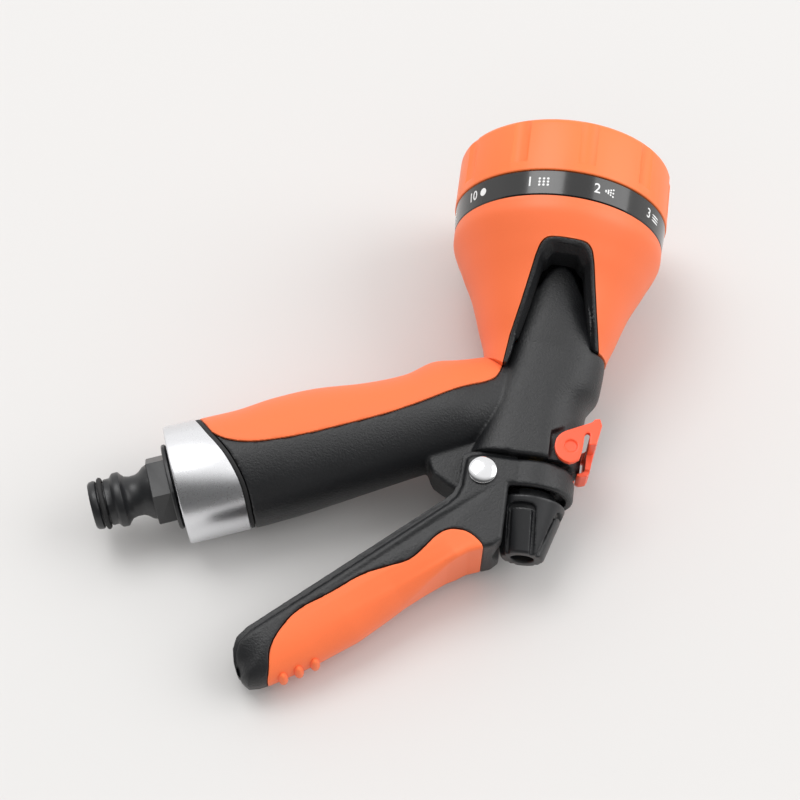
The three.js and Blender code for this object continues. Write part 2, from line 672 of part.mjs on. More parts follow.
function turretDisc() {
  let plate = disc(turretRadius, 58.6, 61.6).add(ring(stemRadius, 6, 61, plateBack - gap, coarse))
    .subtract(disc(stemRadius, 58, 82, coarse));
  for (const angle of onPorts((a) => a)) {
    plate = plate.subtract(pinAlongY(portRadius * Math.sin(angle), portRadius * Math.cos(angle),
      portBore, 58, 63, 8));
  }
  return plate;
}

function sprayPlate() {
  let plate = disc(sprayPlateRadius, plateBack, plateFront).subtract(disc(2.6, 79, 84, 12));
  for (const angle of onPorts((a) => a)) {
    plate = plate.subtract(pinAlongY(portRadius * Math.sin(angle), portRadius * Math.cos(angle), 2.2,
      79, 84, 8));
    plate = plate.subtract(pinAlongY(28 * Math.sin(angle + 0.3), 28 * Math.cos(angle + 0.3), 1.2, 79,
      84, 6));
  }
  return plate;
}

function dialScrew() {
  const screw = turned([[0, 51], [1.5, 51], [1.5, plateFront + 1.3],
    [4.6, plateFront + 1.3], [4.6, plateFront + 2.6], [3.6, plateFront + 3.4], [0, plateFront + 3.4]],
    coarse);
  return screw.subtract(box([-2.6, plateFront + 2.4, -0.5], [2.6, 88, 0.5]))
    .subtract(box([-0.5, plateFront + 2.4, -2.6], [0.5, 88, 2.6]));
}

function outletFunnel() {
  const outer = [[10, coreFront + gap], [10, 22], [12.4, tongueFront + 0.5],
    [coneProfile(48) - coneWall - 1.9, 48], [coneProfile(49.7) - coneWall - 0.9, 49.7]];
  const inner = outer.map(([r, y]) => [r - 2, y]);
  return turned([...outer, ...inner.reverse()], 24);
}

// ---- the pieces in place ----
place(nozzle, 'body_shell', bodyShell(), black, 0.62);
place(nozzle, 'head_cone', headCone(), orange, 0.5);
place(nozzle, 'arch_trim_left', archTrim(1), black, 0.45);
place(nozzle, 'arch_trim_right', archTrim(-1), black, 0.45);
place(handle, 'handle_grip', handleGrip(), orange, 0.7);
place(handle, 'collar_ring', collarRing(), steel, 0.3, 1);
place(handle, 'collar_seal', collarSeal(), rubber, 0.8);
place(handle, 'hose_adapter', hoseAdapter(), black, 0.4);
place(handle, 'adapter_oring', torus(8.05, 0.85, adapterTip - 4), rubber, 0.6);
place(handle, 'inlet_washer', ring(handleBore, adapterSpigot - 0.2, inletFloor + gap, inletFloor + 2,
  coarse), rubber, 0.8);
place(handle, 'inlet_filter', inletFilter(), steel, 0.5, 1);

place(nozzle, 'valve_seat', ring(seatBore, chamberRadius - gap, 3.7, chamberFront - gap, coarse), brass,
  0.35, 1);
place(nozzle, 'valve_stem', valveStem(), brass, 0.35, 1);
place(nozzle, 'valve_seal', ring(2 + gap, 7.4, 0.7, 3.4, coarse), rubber, 0.7);
place(nozzle, 'seal_nut', hexNut(2 + gap, 7, 3.7, 5.2), brass, 0.35, 1);
place(nozzle, 'return_spring', helix(springRadius, springWire, springTurns, glandFront + 1.2, -2.6, 10,
  5), steel, 0.3, 1);
place(nozzle, 'gland_nut', glandNut(), black, 0.5);
place(nozzle, 'gland_oring', torus(stemRadius + gap + 0.8, 0.75, barrelBack + 1.45, 12, 6), rubber, 0.7);
place(nozzle, 'lift_collar', ring(stemThread + gap, liftRadius, liftBack, liftFront - gap, coarse),
  black, 0.5);
place(nozzle, 'flow_knob', flowKnob(), black, 0.35);
place(nozzle, 'knob_insert', hexNut(stemThread + gap, 8, -57.5, -44.6), brass, 0.35, 1);

place(nozzle, 'trigger_lever', triggerLever(), black, 0.5);
place(nozzle, 'trigger_grip', triggerGrip(), orange, 0.7);
place(nozzle, 'lever_rivet', leverRivet(), steel, 0.15, 1);
place(nozzle, 'lock_clip', lockClip(), 0xff6a3c, 0.4);
place(nozzle, 'clip_pin', pinAlongZ(clipPivot, clipPin, -13.9, 13.9, 12), steel, 0.3, 1);

place(nozzle, 'outlet_funnel', outletFunnel(), black, 0.6);
place(nozzle, 'port_plate', portPlate(), black, 0.5);
place(nozzle, 'port_seal', ring(portBore + 1.2, portBore + 2.3, 56.7, 58.3, coarse)
  .translate([0, 0, portRadius]), rubber, 0.8);
place(nozzle, 'detent_spring', helix(1.5, 0.3, 2, 52, 53.7, 10, 5).translate(detentRadius, 0, 0), steel,
  0.3, 1);
place(nozzle, 'detent_ball', solid(new THREE.SphereGeometry(2, 8, 6))
  .translate([detentRadius, 56.2, 0]), steel, 0.2, 1);
place(nozzle, 'turret_disc', turretDisc(), black, 0.5);
place(nozzle, 'index_band', indexBand(), 0x141414, 0.25);
place(nozzle, 'dial_ring', dialRing(), orange, 0.55);
place(nozzle, 'spray_plate', sprayPlate(), black, 0.5);
place(nozzle, 'dial_washer', ring(1.5 + gap, 6.2, plateFront + gap, plateFront + 1, coarse), steel, 0.3,
  1);
place(nozzle, 'dial_screw', dialScrew(), steel, 0.3, 1);

// ---- the way the nozzle lies: on the cone's shoulder, the collar and the trigger ----
const feet = ['head_cone', 'collar_ring', 'trigger_grip'];

function lowestPoint(name, up) {
  const mesh = nozzle.getObjectByName(name);
  const position = mesh.geometry.attributes.position;
  let lowest = null;
  for (let i = 0; i < position.count; i += 1) {
    const point = new THREE.Vector3().fromBufferAttribute(position, i).applyMatrix4(mesh.matrixWorld);
    if (!lowest || point.dot(up) < lowest.dot(up)) lowest = point;
  }
  return lowest;
}

// The floor's upward normal, in the nozzle's own axes, when all three feet touch it.
function floorNormal() {
  nozzle.updateMatrixWorld(true);
  const up = new THREE.Vector3(0, 0, 1);
  for (let i = 0; i < 12; i += 1) {
    const [head, collar, trigger] = feet.map((name) => lowestPoint(name, up));
    up.crossVectors(collar.sub(head), trigger.sub(head)).normalize();
    if (up.z < 0) up.negate();
  }
  return up;
}

const up = floorNormal();
const forward = new THREE.Vector3(0, 1, 0).projectOnPlane(up).normalize();
const lying = new THREE.Matrix4().makeBasis(forward.clone().cross(up), forward, up).transpose();
const object = new THREE.Group();        // +Z up, +Y the way it sprays, origin under the middle
nozzle.quaternion.setFromRotationMatrix(lying);
object.add(nozzle);
const extent = new THREE.Box3().setFromObject(object, true);
const middle = extent.getCenter(new THREE.Vector3());
nozzle.position.set(-middle.x, -middle.y, -extent.min.z);

export default object;
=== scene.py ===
import json
import math

import bpy
from mathutils import Matrix, Vector


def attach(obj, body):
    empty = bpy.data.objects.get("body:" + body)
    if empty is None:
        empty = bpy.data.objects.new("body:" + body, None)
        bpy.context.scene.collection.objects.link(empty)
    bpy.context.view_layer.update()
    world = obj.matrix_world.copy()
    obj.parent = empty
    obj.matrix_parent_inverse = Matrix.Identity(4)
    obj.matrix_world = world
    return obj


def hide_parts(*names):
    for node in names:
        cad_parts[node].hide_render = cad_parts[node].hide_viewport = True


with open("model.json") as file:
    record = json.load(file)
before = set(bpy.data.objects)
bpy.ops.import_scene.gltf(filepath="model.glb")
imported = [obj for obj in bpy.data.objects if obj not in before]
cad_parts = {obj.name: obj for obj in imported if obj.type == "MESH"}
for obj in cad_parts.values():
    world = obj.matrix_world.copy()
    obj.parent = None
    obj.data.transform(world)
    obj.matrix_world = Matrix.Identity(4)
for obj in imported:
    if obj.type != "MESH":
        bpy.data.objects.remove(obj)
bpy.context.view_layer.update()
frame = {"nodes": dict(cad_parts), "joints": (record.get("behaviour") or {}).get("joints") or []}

# ---- Barrel and handle -------------------------------------------------------------
# One moulding in black glass-filled nylon: the handle tube runs into the barrel at a
# crease, and the lug for the trigger hangs under the corner. Everything is bolted to it.
joints = {joint["name"]: joint for joint in frame["joints"]}
spray = Vector(joints["dial_hinge"]["axis"]).normalized()
upward = -Vector(joints["trigger_hinge"]["axis"]).normalized()
sideways = spray.cross(upward)
turn = Matrix((sideways, spray, upward)).transposed()
pivot = Vector((-16.6, -37.2, 0))
millimetre = 0.001
crossing = Vector(joints["trigger_hinge"]["pos_m"]) - turn @ pivot * millimetre
nozzle = Matrix.Translation(crossing) @ turn.to_4x4() @ Matrix.Scale(millimetre, 4)
lean = Matrix.Rotation(math.radians(112.4), 4, "Z") @ Matrix.Translation((-2.1, 0, 0))
handle = nozzle @ lean

gap = 0.3
barrel_radius = 16
barrel_back = -30
barrel_front = 11.6
handle_length = 126.9
window_centre = 2.3
tongue_front = 40.5
half_depth = 30


def only(piece):
    """Makes one piece the selected and the active one."""
    bpy.ops.object.select_all(action="DESELECT")
    piece.select_set(True)
    bpy.context.view_layer.objects.active = piece


def curve_through(pairs):
    """A smooth value against place, through [place, value] pairs."""
    def value(at):
        last = len(pairs) - 1
        if at <= pairs[0][0]:
            return pairs[0][1]
        if at >= pairs[last][0]:
            return pairs[last][1]
        i = next(k for k, pair in enumerate(pairs) if pair[0] > at) - 1
        (x0, y0), (x1, y1) = pairs[i], pairs[i + 1]
        before, after = max(i - 1, 0), min(i + 2, last)
        m0 = (y1 - pairs[before][1]) / (x1 - pairs[before][0])
        m1 = (pairs[after][1] - y0) / (pairs[after][0] - x0)
        t, h = (at - x0) / (x1 - x0), x1 - x0
        return ((2 * t**3 - 3 * t**2 + 1) * y0 + (t**3 - 2 * t**2 + t) * h * m0
                + (3 * t**2 - 2 * t**3) * y1 + (t**3 - t**2) * h * m1)
    return value


def smooth_line(points, steps=6):
    """Points along a smooth line through the given ones."""
    line = []
    for i in range(len(points) - 1):
        a = points[max(i - 1, 0)]
        b, c = points[i], points[i + 1]
        d = points[min(i + 2, len(points) - 1)]
        for k in range(steps):
            t = k / steps
            line.append(tuple(
                0.5 * (2 * b[j] + (c[j] - a[j]) * t + (2 * a[j] - 5 * b[j] + 4 * c[j] - d[j]) * t * t
                       + (3 * b[j] - a[j] - 3 * c[j] + d[j]) * t**3) for j in (0, 1)))
    line.append(tuple(points[-1]))
    return line


def traced(name, points):
    """A chain of edges, extruded from one vertex along the points and closed on itself."""
    bpy.ops.object.select_all(action="DESELECT")
    bpy.ops.mesh.primitive_plane_add(size=1)
    piece = bpy.context.object
    piece.name = name
    bpy.ops.object.mode_set(mode="EDIT")
    bpy.ops.mesh.select_all(action="SELECT")
    bpy.ops.mesh.merge(type="CENTER")
    place = Vector((points[0][0], points[0][1], 0))
    bpy.ops.transform.translate(value=place)
    for x, y in list(points[1:]) + [points[0]]:
        step = Vector((x, y, 0)) - place
        bpy.ops.mesh.extrude_region_move(TRANSFORM_OT_translate={"value": step})
        place = Vector((x, y, 0))
    bpy.ops.mesh.select_all(action="SELECT")
    bpy.ops.mesh.remove_doubles(threshold=0.0005)
    return piece


def spun(name, outline, steps=128):
    """A piece turned about the spray axis from [radius, height] points."""
    piece = traced(name, outline)
    bpy.ops.mesh.spin(steps=steps, angle=math.tau, center=(0, 0, 0), axis=(0, 1, 0))
    bpy.ops.mesh.select_all(action="SELECT")
    bpy.ops.mesh.remove_doubles(threshold=0.0005)
    bpy.ops.mesh.dissolve_degenerate(threshold=0.0005)
    bpy.ops.mesh.select_all(action="SELECT")
    bpy.ops.mesh.normals_make_consistent(inside=False)
    bpy.ops.object.mode_set(mode="OBJECT")
    return piece


def slab(name, outline, low, high, soft=0):
    """A flat outline given its depth, with both rims rounded by soft."""
    piece = traced(name, outline)
    bpy.ops.mesh.edge_face_add()
    bpy.ops.transform.translate(value=(0, 0, low))
    bpy.ops.mesh.extrude_region_move(TRANSFORM_OT_translate={"value": (0, 0, high - low)})
    bpy.ops.mesh.select_all(action="SELECT")
    bpy.ops.mesh.normals_make_consistent(inside=False)
    bpy.ops.object.mode_set(mode="OBJECT")
    if soft:
        for part in (piece.data.vertices, piece.data.polygons):
            part.foreach_set("select", [False] * len(part))
        for edge in piece.data.edges:
            ends = [piece.data.vertices[i].co.z for i in edge.vertices]
            edge.select = abs(ends[0] - ends[1]) < 1e-4
        bpy.context.tool_settings.mesh_select_mode = (False, True, False)
        bpy.ops.object.mode_set(mode="EDIT")
        bpy.ops.mesh.bevel(offset=soft, segments=6, affect="EDGES", clamp_overlap=True)
        bpy.ops.object.mode_set(mode="OBJECT")
        bpy.context.tool_settings.mesh_select_mode = (True, False, False)
    return piece


def rod(name, x, y, radius, low, high, sides=48):
    """A round bar along Z."""
    outline = [(x + radius * math.cos(k * math.tau / sides), y + radius * math.sin(k * math.tau / sides))
               for k in range(sides)]
    return slab(name, outline, low, high)


def fused(piece, other, how):
    """Joins another piece to this one, cuts it away, or keeps what they share."""
    step = piece.modifiers.new(how, "BOOLEAN")
    step.operation = how
    step.solver = "EXACT"
    step.object = other
    only(piece)
    bpy.ops.object.modifier_apply(modifier=step.name)
    bpy.data.objects.remove(other)
    return piece


def cut(piece, *tools):
    for tool in tools:
        fused(piece, tool, "DIFFERENCE")
    return piece


def join(piece, *others):
    for other in others:
        fused(piece, other, "UNION")
    return piece


def softened(piece, grid, rounds):
    """Melts all edges slightly, as the radii in a mould do."""
    only(piece)
    melt = piece.modifiers.new("melt", "REMESH")
    melt.mode = "VOXEL"
    melt.voxel_size = grid
    bpy.ops.object.modifier_apply(modifier=melt.name)
    ease = piece.modifiers.new("ease", "SMOOTH")
    ease.factor = 0.5
    ease.iterations = rounds
    bpy.ops.object.modifier_apply(modifier=ease.name)
    return piece


def rounded(piece, width, segments=2, angle=35):
    """Breaks every edge sharper than the angle with a small round."""
    only(piece)
    bevel = piece.modifiers.new("edges", "BEVEL")
    bevel.width = width
    bevel.segments = segments
    bevel.limit_method = "ANGLE"
    bevel.angle_limit = math.radians(angle)
    bevel.use_clamp_overlap = True
    bpy.ops.object.modifier_apply(modifier=bevel.name)
    return piece


def moved(piece, matrix):
    """Turns or shifts a piece and keeps its place in its mesh."""
    piece.matrix_world = matrix
    only(piece)
    bpy.ops.object.transform_apply(location=True, rotation=True, scale=True)
    return piece


def fitted(piece, where, body, slot, material, *nodes, crease=35):
    """Puts a finished piece in its place on the nozzle, with its finish."""
    moved(piece, where)
    bpy.ops.object.shade_smooth_by_angle(angle=math.radians(crease))
    piece.data.materials.clear()
    piece.data.materials.append(material)
    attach(piece, body)
    if nodes:
        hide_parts(*nodes)
    return piece


def linear(code):
    """An sRGB hex colour as linear light."""
    parts = [int(code[i:i + 2], 16) / 255 for i in (1, 3, 5)]
    return [p / 12.92 if p <= 0.04045 else ((p + 0.055) / 1.055) ** 2.4 for p in parts] + [1]


def add(material, kind, settings, links=()):
    """Adds a node with its settings, and links its inputs to other nodes' outputs."""
    tree = material.node_tree
    node = tree.nodes.new(kind)
    for key, value in settings.items():
        if isinstance(key, int) or key in node.inputs:
            node.inputs[key].default_value = value
        else:
            setattr(node, key, value)
    for key, (source, output) in dict(links).items():
        tree.links.new(source.outputs[output], node.inputs[key])
    return node


def finish(name, colour, roughness, metallic=0.0, **sockets):
    """A new material with its shader's plain numbers set on the shader itself."""
    material = bpy.data.materials.new(name)
    material.use_nodes = True
    shader = material.node_tree.nodes["Principled BSDF"]
    shader.inputs["Base Color"].default_value = linear(colour)
    shader.inputs["Roughness"].default_value = roughness
    shader.inputs["Metallic"].default_value = metallic
    for key, value in sockets.items():
        shader.inputs[key.replace("_", " ").title()].default_value = value
    return material, shader


def grained(material, shader, pitch, height, swing=0.08, shade=0.06, strength=1.0):
    """A moulded surface: grain of a pitch and height in mm, and slow drifts of gloss and colour."""
    tree = material.node_tree
    where = add(material, "ShaderNodeTexCoord", {})
    fine = add(material, "ShaderNodeTexNoise", {"Scale": 1000 / pitch, "Detail": 3.0, "Roughness": 0.6},
               {"Vector": (where, "Object")})
    bump = add(material, "ShaderNodeBump", {"Strength": strength, "Distance": height * millimetre},
               {"Height": (fine, "Fac")})
    tree.links.new(bump.outputs["Normal"], shader.inputs["Normal"])
    slow = add(material, "ShaderNodeTexNoise", {"Scale": 60.0, "Detail": 3.0}, {"Vector": (where, "Object")})
    mixed = add(material, "ShaderNodeMath", {"operation": "MULTIPLY_ADD", 1: 0.6, 2: 0.2}, {0: (fine, "Fac")})
    both = add(material, "ShaderNodeMath", {"operation": "MULTIPLY_ADD", 1: 0.4}, {0: (slow, "Fac"), 2: (mixed, 0)})
    rough = shader.inputs["Roughness"].default_value
    gloss = add(material, "ShaderNodeMapRange", {1: 0.3, 2: 0.9, 3: rough - swing, 4: rough + swing},
                {0: (both, 0)})
    tree.links.new(gloss.outputs[0], shader.inputs["Roughness"])
    base = list(shader.inputs["Base Color"].default_value)
    ramp = add(material, "ShaderNodeValToRGB", {}, {"Fac": (both, 0)})
    ramp.color_ramp.elements[0].position = 0.3
    ramp.color_ramp.elements[0].color = [c * (1 - shade) for c in base[:3]] + [1]
    ramp.color_ramp.elements[1].position = 0.85
    ramp.color_ramp.elements[1].color = [min(1, c * (1 + shade)) for c in base[:3]] + [1]
    tree.links.new(ramp.outputs["Color"], shader.inputs["Base Color"])


spray_side = curve_through([(0, 18.1), (15, 18.3), (25, 19.4), (34, 20.9), (44, 18.7), (58, 19),
                            (76, 21.4), (91, 21.4), (103, 20.1), (114, 20.1), (130, 20.1)])
trigger_side = curve_through([(0, 13.9), (44, 16.4), (70, 18.4), (91, 20), (110, 20.4), (130, 20.3)])
handle_half = curve_through([(0, 13.4), (12, 13.7), (20, 14.6), (30, 16.2), (45, 16.5), (60, 17.2), (80, 18.6),
                             (100, 19.8), (112, 20.3), (130, 20.3)])


def loft(name, inset, start, end, rows=56, around=96):
    """The handle's oval, extruded row by row and drawn to its width at each row."""
    bpy.ops.object.select_all(action="DESELECT")
    bpy.ops.mesh.primitive_circle_add(vertices=around, radius=1, fill_type="NGON",
                                      rotation=(math.pi / 2, 0, 0), location=(0, start, 0))
    piece = bpy.context.object
    piece.name = name
    bpy.ops.object.transform_apply(location=True, rotation=True)
    bpy.ops.object.mode_set(mode="EDIT")
    bpy.ops.mesh.select_all(action="SELECT")
    for _ in range(rows):
        bpy.ops.mesh.extrude_region_move(TRANSFORM_OT_translate={"value": (0, (end - start) / rows, 0)})
    bpy.ops.mesh.select_all(action="SELECT")
    bpy.ops.mesh.normals_make_consistent(inside=False)
    bpy.ops.object.mode_set(mode="OBJECT")
    for point in piece.data.vertices:
        along = point.co.y
        side = spray_side(along) if point.co.x > 0 else trigger_side(along)
        point.co.x *= side - inset
        point.co.z *= handle_half(along) - inset
    return piece


grip_edge = [(17.5, 7.7), (8, 13.7), (5.1, 18.2), (4.4, 29), (2.5, 43), (1.2, 54), (0.5, 68), (0.1, 84),
             (0.9, 97), (2.9, 105.6), (6.8, 111.6), (13, 115.5), (20.5, 116.5)]
collar_edge = [(-30, 109.2), (-19, 108.2), (-11, 108.3), (-2, 110.6), (4, 113), (10, 115.6),
               (20, 118.6), (30, 120)]


def grip_region(name, growth):
    """The area of the soft grip on the handle, as a block through the handle."""
    edge = smooth_line(grip_edge)
    shifted = [(x - growth, y + (growth if y > 100 else -growth if y < 12 else 0)) for x, y in edge]
    return slab(name, shifted + [(26, 116.5 + growth), (26, 4)], -half_depth, half_depth)


def past_collar(name, shift):
    """Everything on the hose side of the collar's swept edge."""
    edge = [(x, y + shift) for x, y in smooth_line(collar_edge)]
    return slab(name, edge + [(30, 160), (-30, 160)], -half_depth, half_depth)


cone_width = curve_through([(0, 20), (11.6, 21.3), (20, 24), (30, 27.2), (35, 29.2), (40, 31.6),
                            (44, 33.4), (48, 35.3), (52, 36.8), (56.3, 37)])


def cone_block(name, growth, back, front, steps=24, sides=128):
    """The cone's outside as a filled block."""
    side = [(cone_width(y) + growth, y) for y in [back + (front - back) * k / steps for k in range(steps + 1)]]
    return spun(name, [(0, back)] + side + [(0, front)], sides)


def cone_lip(name, growth):
    """The part of the cone that runs back beside the window, down to the soft grip."""
    piece = cone_block(name, growth, 0, barrel_front + gap, 8)
    cut(piece, cone_block("lip_inside", -2.4 - growth, -1, barrel_front + 2, 8))
    area = [(-12.95, 14), (-14.4, 2.6), (-18, 5.5), (-24, 10.4), (-24, 14)]
    grown = [(x + math.copysign(growth, x + 18), y + math.copysign(growth, y - 9)) for x, y in area]
    return fused(piece, slab("lip_area", grown, -half_depth, half_depth), "INTERSECT")


def bullet_outline(half, front):
    """The barrel's front end, seen from above."""
    back, middle = barrel_front - 4, barrel_front + 7
    nose = smooth_line([(-half, middle), (-half + 1.5, middle + 8), (-6.9, front - 7.5),
                        (-3.6, front - 1.9), (0, front), (3.6, front - 1.9), (6.9, front - 7.5),
                        (half - 1.5, middle + 8), (half, middle)])
    return [(x + window_centre, y) for x, y in [(-half, back)] + nose + [(half, back)]]


handle_body = loft("handle_body", 0, 0, handle_length)
cut(handle_body, grip_region("grip_room", gap))
join(handle_body, loft("handle_core", 2.1, 0, handle_length))
collar_room = spun("collar_room", [(18.1, 90), (30, 90), (30, 128), (18.1, 128)], 96)
fused(collar_room, past_collar("collar_side", -1.9), "INTERSECT")
cut(handle_body, collar_room)
join(handle_body, spun("end_boss", [(0, 120), (14.8, 120), (14.8, 129.2), (0, 129.2)], 96))
cut(handle_body, spun("spigot_bore", [(0, 112), (11.3, 112), (11.3, 140), (0, 140)], 96))
moved(handle_body, lean)
cut(handle_body, cone_block("cone_room", gap, barrel_front - gap, 56.3), cone_lip("lip_room", gap))

barrel = spun("barrel", [(0, barrel_back), (15.4, barrel_back), (16, barrel_back + 0.6)]
              + [(barrel_radius, barrel_back + 2 + k) for k in range(0, 39)]
              + [(barrel_radius, barrel_front - gap), (10, barrel_front - gap), (10, 16), (0, 16)], 144)
reach_left = curve_through([(-30, 21.5), (-18, 18), (-7, 15.8), (0, 15), (11.3, 14.6), (26, 17.1)])
reach_right = curve_through([(-9.5, 16), (-7, 16.6), (-4.6, 18), (-2.6, 19.4), (-1, 20), (1, 20.3), (11.3, 20.9),
                             (14, 19.6), (26, 17.1)])
square_left = curve_through([(-30, 4.2), (-7, 4), (0, 3.2), (11.3, 2.6), (26, 2)])
square_right = curve_through([(-12, 2), (-4, 2.3), (11.3, 2.7), (26, 2)])
nose_radius = curve_through([(10, barrel_radius), (16, 16.6), (26, 17.1)])


def squared(piece, front):
    """Widens a turned piece to the barrel's section, which is squarer than a circle."""
    for point in piece.data.vertices:
        x, y, z = point.co
        if y > front or math.hypot(x, z) < 11:
            continue
        reach, power = (reach_left(y), square_left(y)) if x < 0 else (reach_right(y), square_right(y))
        radius = nose_radius(y)
        tall, wide = abs(z) / math.hypot(x, z), abs(x) / math.hypot(x, z)
        size = math.hypot(x, z) / radius
        spread = (wide**power + tall**power) ** (-1 / power)
        point.co.x = math.copysign(wide * spread * reach * size, x)
        point.co.z = math.copysign(tall * spread * radius * size, z)
    return piece


squared(barrel, barrel_front)
# The barrel's front end lies in each window as a long bullet shape.
for side in (1, -1):
    outline = [(13, 7)] + [(nose_radius(y), y) for y in range(7, 27)] + [(17, tongue_front), (13, tongue_front)]
    nose = squared(spun("nose", outline, 144), 30)
    tongue = slab("tongue", bullet_outline(12.4, tongue_front), min(0, side * 30), max(0, side * 30))
    join(barrel, fused(nose, tongue, "INTERSECT"))
lug_half = 8
lug = slab("lug", [(-40, -24), (-33.5, -37.2), (-32.5, -38.6), (-23.2, -43.8), (pivot.x, pivot.y - 5),
                   (pivot.x + 6, pivot.y), (pivot.x + 6, -28), (-12, -20)], -lug_half, lug_half, 1.4)
join(barrel, lug, rod("lug_eye", pivot.x, pivot.y, 6, -lug_half, lug_half), handle_body)
for side in (1, -1):
    cheek = [(-26.5, -46), (-25.5, -36), (-22, -29.6), (-8, -29.6), (-8, -46)]
    pocket = [(4.5, -31), (4.5, -20.5), (7, -19.2), (14, -14.5), (20, -12), (24, -12), (24, -31)]
    cut(barrel, slab("cheek_room", cheek, *sorted((side * 8.3, side * 20))),
        slab("clip_room", pocket, *sorted((side * 12.7, side * 25))))
cut(barrel, spun("valve_room", [(0, -31), (9.7, -31), (9.7, -17.3), (8.6, -17.3), (8.6, 6.7),
                                (6, 6.7), (6, 17), (0, 17)], 96),
    rod("pin_bore", 11.5, -25, 1.6, -half_depth, half_depth, 24),
    rod("rivet_bore", pivot.x, pivot.y, 2.6, -half_depth, half_depth, 32))
softened(barrel, 0.55, 5)

# Glass-filled nylon from an eroded mould: charcoal black with a fine, even grain that
# breaks the highlights up. The real grain is near 0.2 mm; it is drawn at 0.7 mm to show.
nylon, nylon_shader = finish("nylon_moulded_grained", "#1B1C1E", 0.38)
grained(nylon, nylon_shader, 0.7, 0.2)
fitted(barrel, nozzle, "nozzle_body", "barrel_black", nylon, "body_shell")

# ---- Soft grip on the handle -------------------------------------------------------
# Thermoplastic rubber moulded over the back of the handle, with a swell for the palm.
# It stands level with the black shell and meets it at a fine shadow line.
grip = loft("handle_grip_skin", 0, 0, 122)
cut(grip, loft("grip_inside", 1.8, -1, 123))
fused(grip, grip_region("grip_area", 0), "INTERSECT")
cut(grip, past_collar("grip_end", -1.9))
moved(grip, lean)
cut(grip, cone_block("cone_clear", gap, barrel_front - gap, 56.3),
    spun("barrel_clear", [(0, -35), (16.4, -35), (16.4, 56), (0, 56)], 96),
    slab("shoulder_clear", [(0, 11.6), (20.9, 11.6), (20.6, -12), (0, -12)], -9.5, 9.5),
    cone_lip("lip_clear", gap),
    slab("window_clear", [(-14, 11.6), (-14.4, 2.4), (-15, -1), (-10, -3), (-10, 11.6)],
         -half_depth, half_depth))
softened(grip, 0.5, 4)

# Thermoplastic rubber, injection moulded: soft and matt with a slight sheen at the
# edges, and a stipple of about 0.5 mm.
soft_rubber, soft_shader = finish("tpr_moulded_matt", "#F4713A", 0.58, sheen_weight=0.12, sheen_roughness=0.5)
grained(soft_rubber, soft_shader, 0.5, 0.035, shade=0.04)
fitted(grip, nozzle, "nozzle_body", "grip_orange", soft_rubber, "handle_grip")

# ---- Head cone ---------------------------------------------------------------------
# A thin ABS bell that slips over the barrel's front. An arched window is moulded
# through it on each side.
arch_front = 42.8
arch_half = 15.2


def arch_outline(inset, back=0):
    """The window's outline, open towards the back."""
    front, crown = arch_front - inset, 3.6
    corner = smooth_line([(arch_half - 5.3 - inset, arch_front - 5.8), (arch_half - 6.6 - inset, front - 2.2),
                          (arch_half - 8.6 - inset * 0.8, front - 0.35), (crown, front)], 5)
    side = [(arch_half + 1.6 - inset, back), (arch_half + 0.8 - inset, 6), (arch_half - inset, 12),
            (arch_half - 2.3 - inset, 22)] + corner
    other = [(-x, y) for x, y in reversed(side)]
    return [(x + window_centre, y) for x, y in side + other]


cone = cone_block("bell", 0, barrel_front, 56.3, 36, 192)
cut(cone, cone_block("bell_inside", -2.4, barrel_front - 1, 57.3, 36, 192))
cut(cone, slab("window", arch_outline(-gap), -60, 60))
join(cone, cone_lip("lip", 0))
rounded(cone, 0.35, 3)

# ABS, injection moulded from a fine blasted mould: satin, with a faint haze over it.
bell_plastic, bell_shader = finish("abs_moulded_satin_cone", "#F4733F", 0.42, subsurface_weight=0.0)
grained(bell_plastic, bell_shader, 0.35, 0.012, swing=0.05, shade=0.03)
fitted(cone, nozzle, "nozzle_body", "cone_orange", bell_plastic, "head_cone")

# ---- Window trims ------------------------------------------------------------------
# A dished black insert fills each window: its rim lies level with the cone and its
# wall slopes in towards the barrel's front end.
wall_slope = 4.5
for side, node in ((1, "arch_trim_left"), (-1, "arch_trim_right")):
    trim = slab("trim", arch_outline(0), 0, 60)
    outline = arch_outline(2.9, -2)
    rim = arch_outline(1.1, -2)
    well = slab("well", outline, 12, 60)
    dish = slab("dish", outline, 12, 60)
    for point in dish.data.vertices:
        i = min(range(len(outline)), key=lambda k: (Vector(outline[k]) - point.co.xy).length)
        x, y = rim[i] if point.co.z > 30 else outline[i]
        surface = math.sqrt(cone_width(y) ** 2 - x * x)
        point.co = (x, y, surface + 0.6 if point.co.z > 30 else surface - wall_slope)
    cut(trim, well)
    barrel_space = [(0, -5), (16.3, -5), (16.4, 8), (17.5, 14), (17.5, 41), (18.5, 42), (0, 42)]
    cut(trim, dish, spun("barrel_space", barrel_space, 96))
    fused(trim, cone_block("flush", 0.2, barrel_front, 56.3), "INTERSECT")
    leg = slab("leg", [(-14.1, 2.6), (-12.9, 12), (-11, 12), (-12, 5.5), (-13, 2)], 0, 60)
    fused(leg, cone_block("leg_level", 0.1, 1, 13), "INTERSECT")
    join(trim, cut(leg, spun("leg_space", [(0, 0), (15, 0), (15, 13), (0, 13)], 96)))
    trim.name = "window_trim_" + ("upper" if side > 0 else "lower")
    softened(trim, 0.35, 3)
    if side < 0:
        moved(trim, Matrix.Scale(-1, 4, (0, 0, 1)))
        bpy.ops.object.mode_set(mode="EDIT")
        bpy.ops.mesh.select_all(action="SELECT")
        bpy.ops.mesh.normals_make_consistent(inside=False)
        bpy.ops.object.mode_set(mode="OBJECT")
    fitted(trim, nozzle, "nozzle_body", "barrel_black", nylon, node)

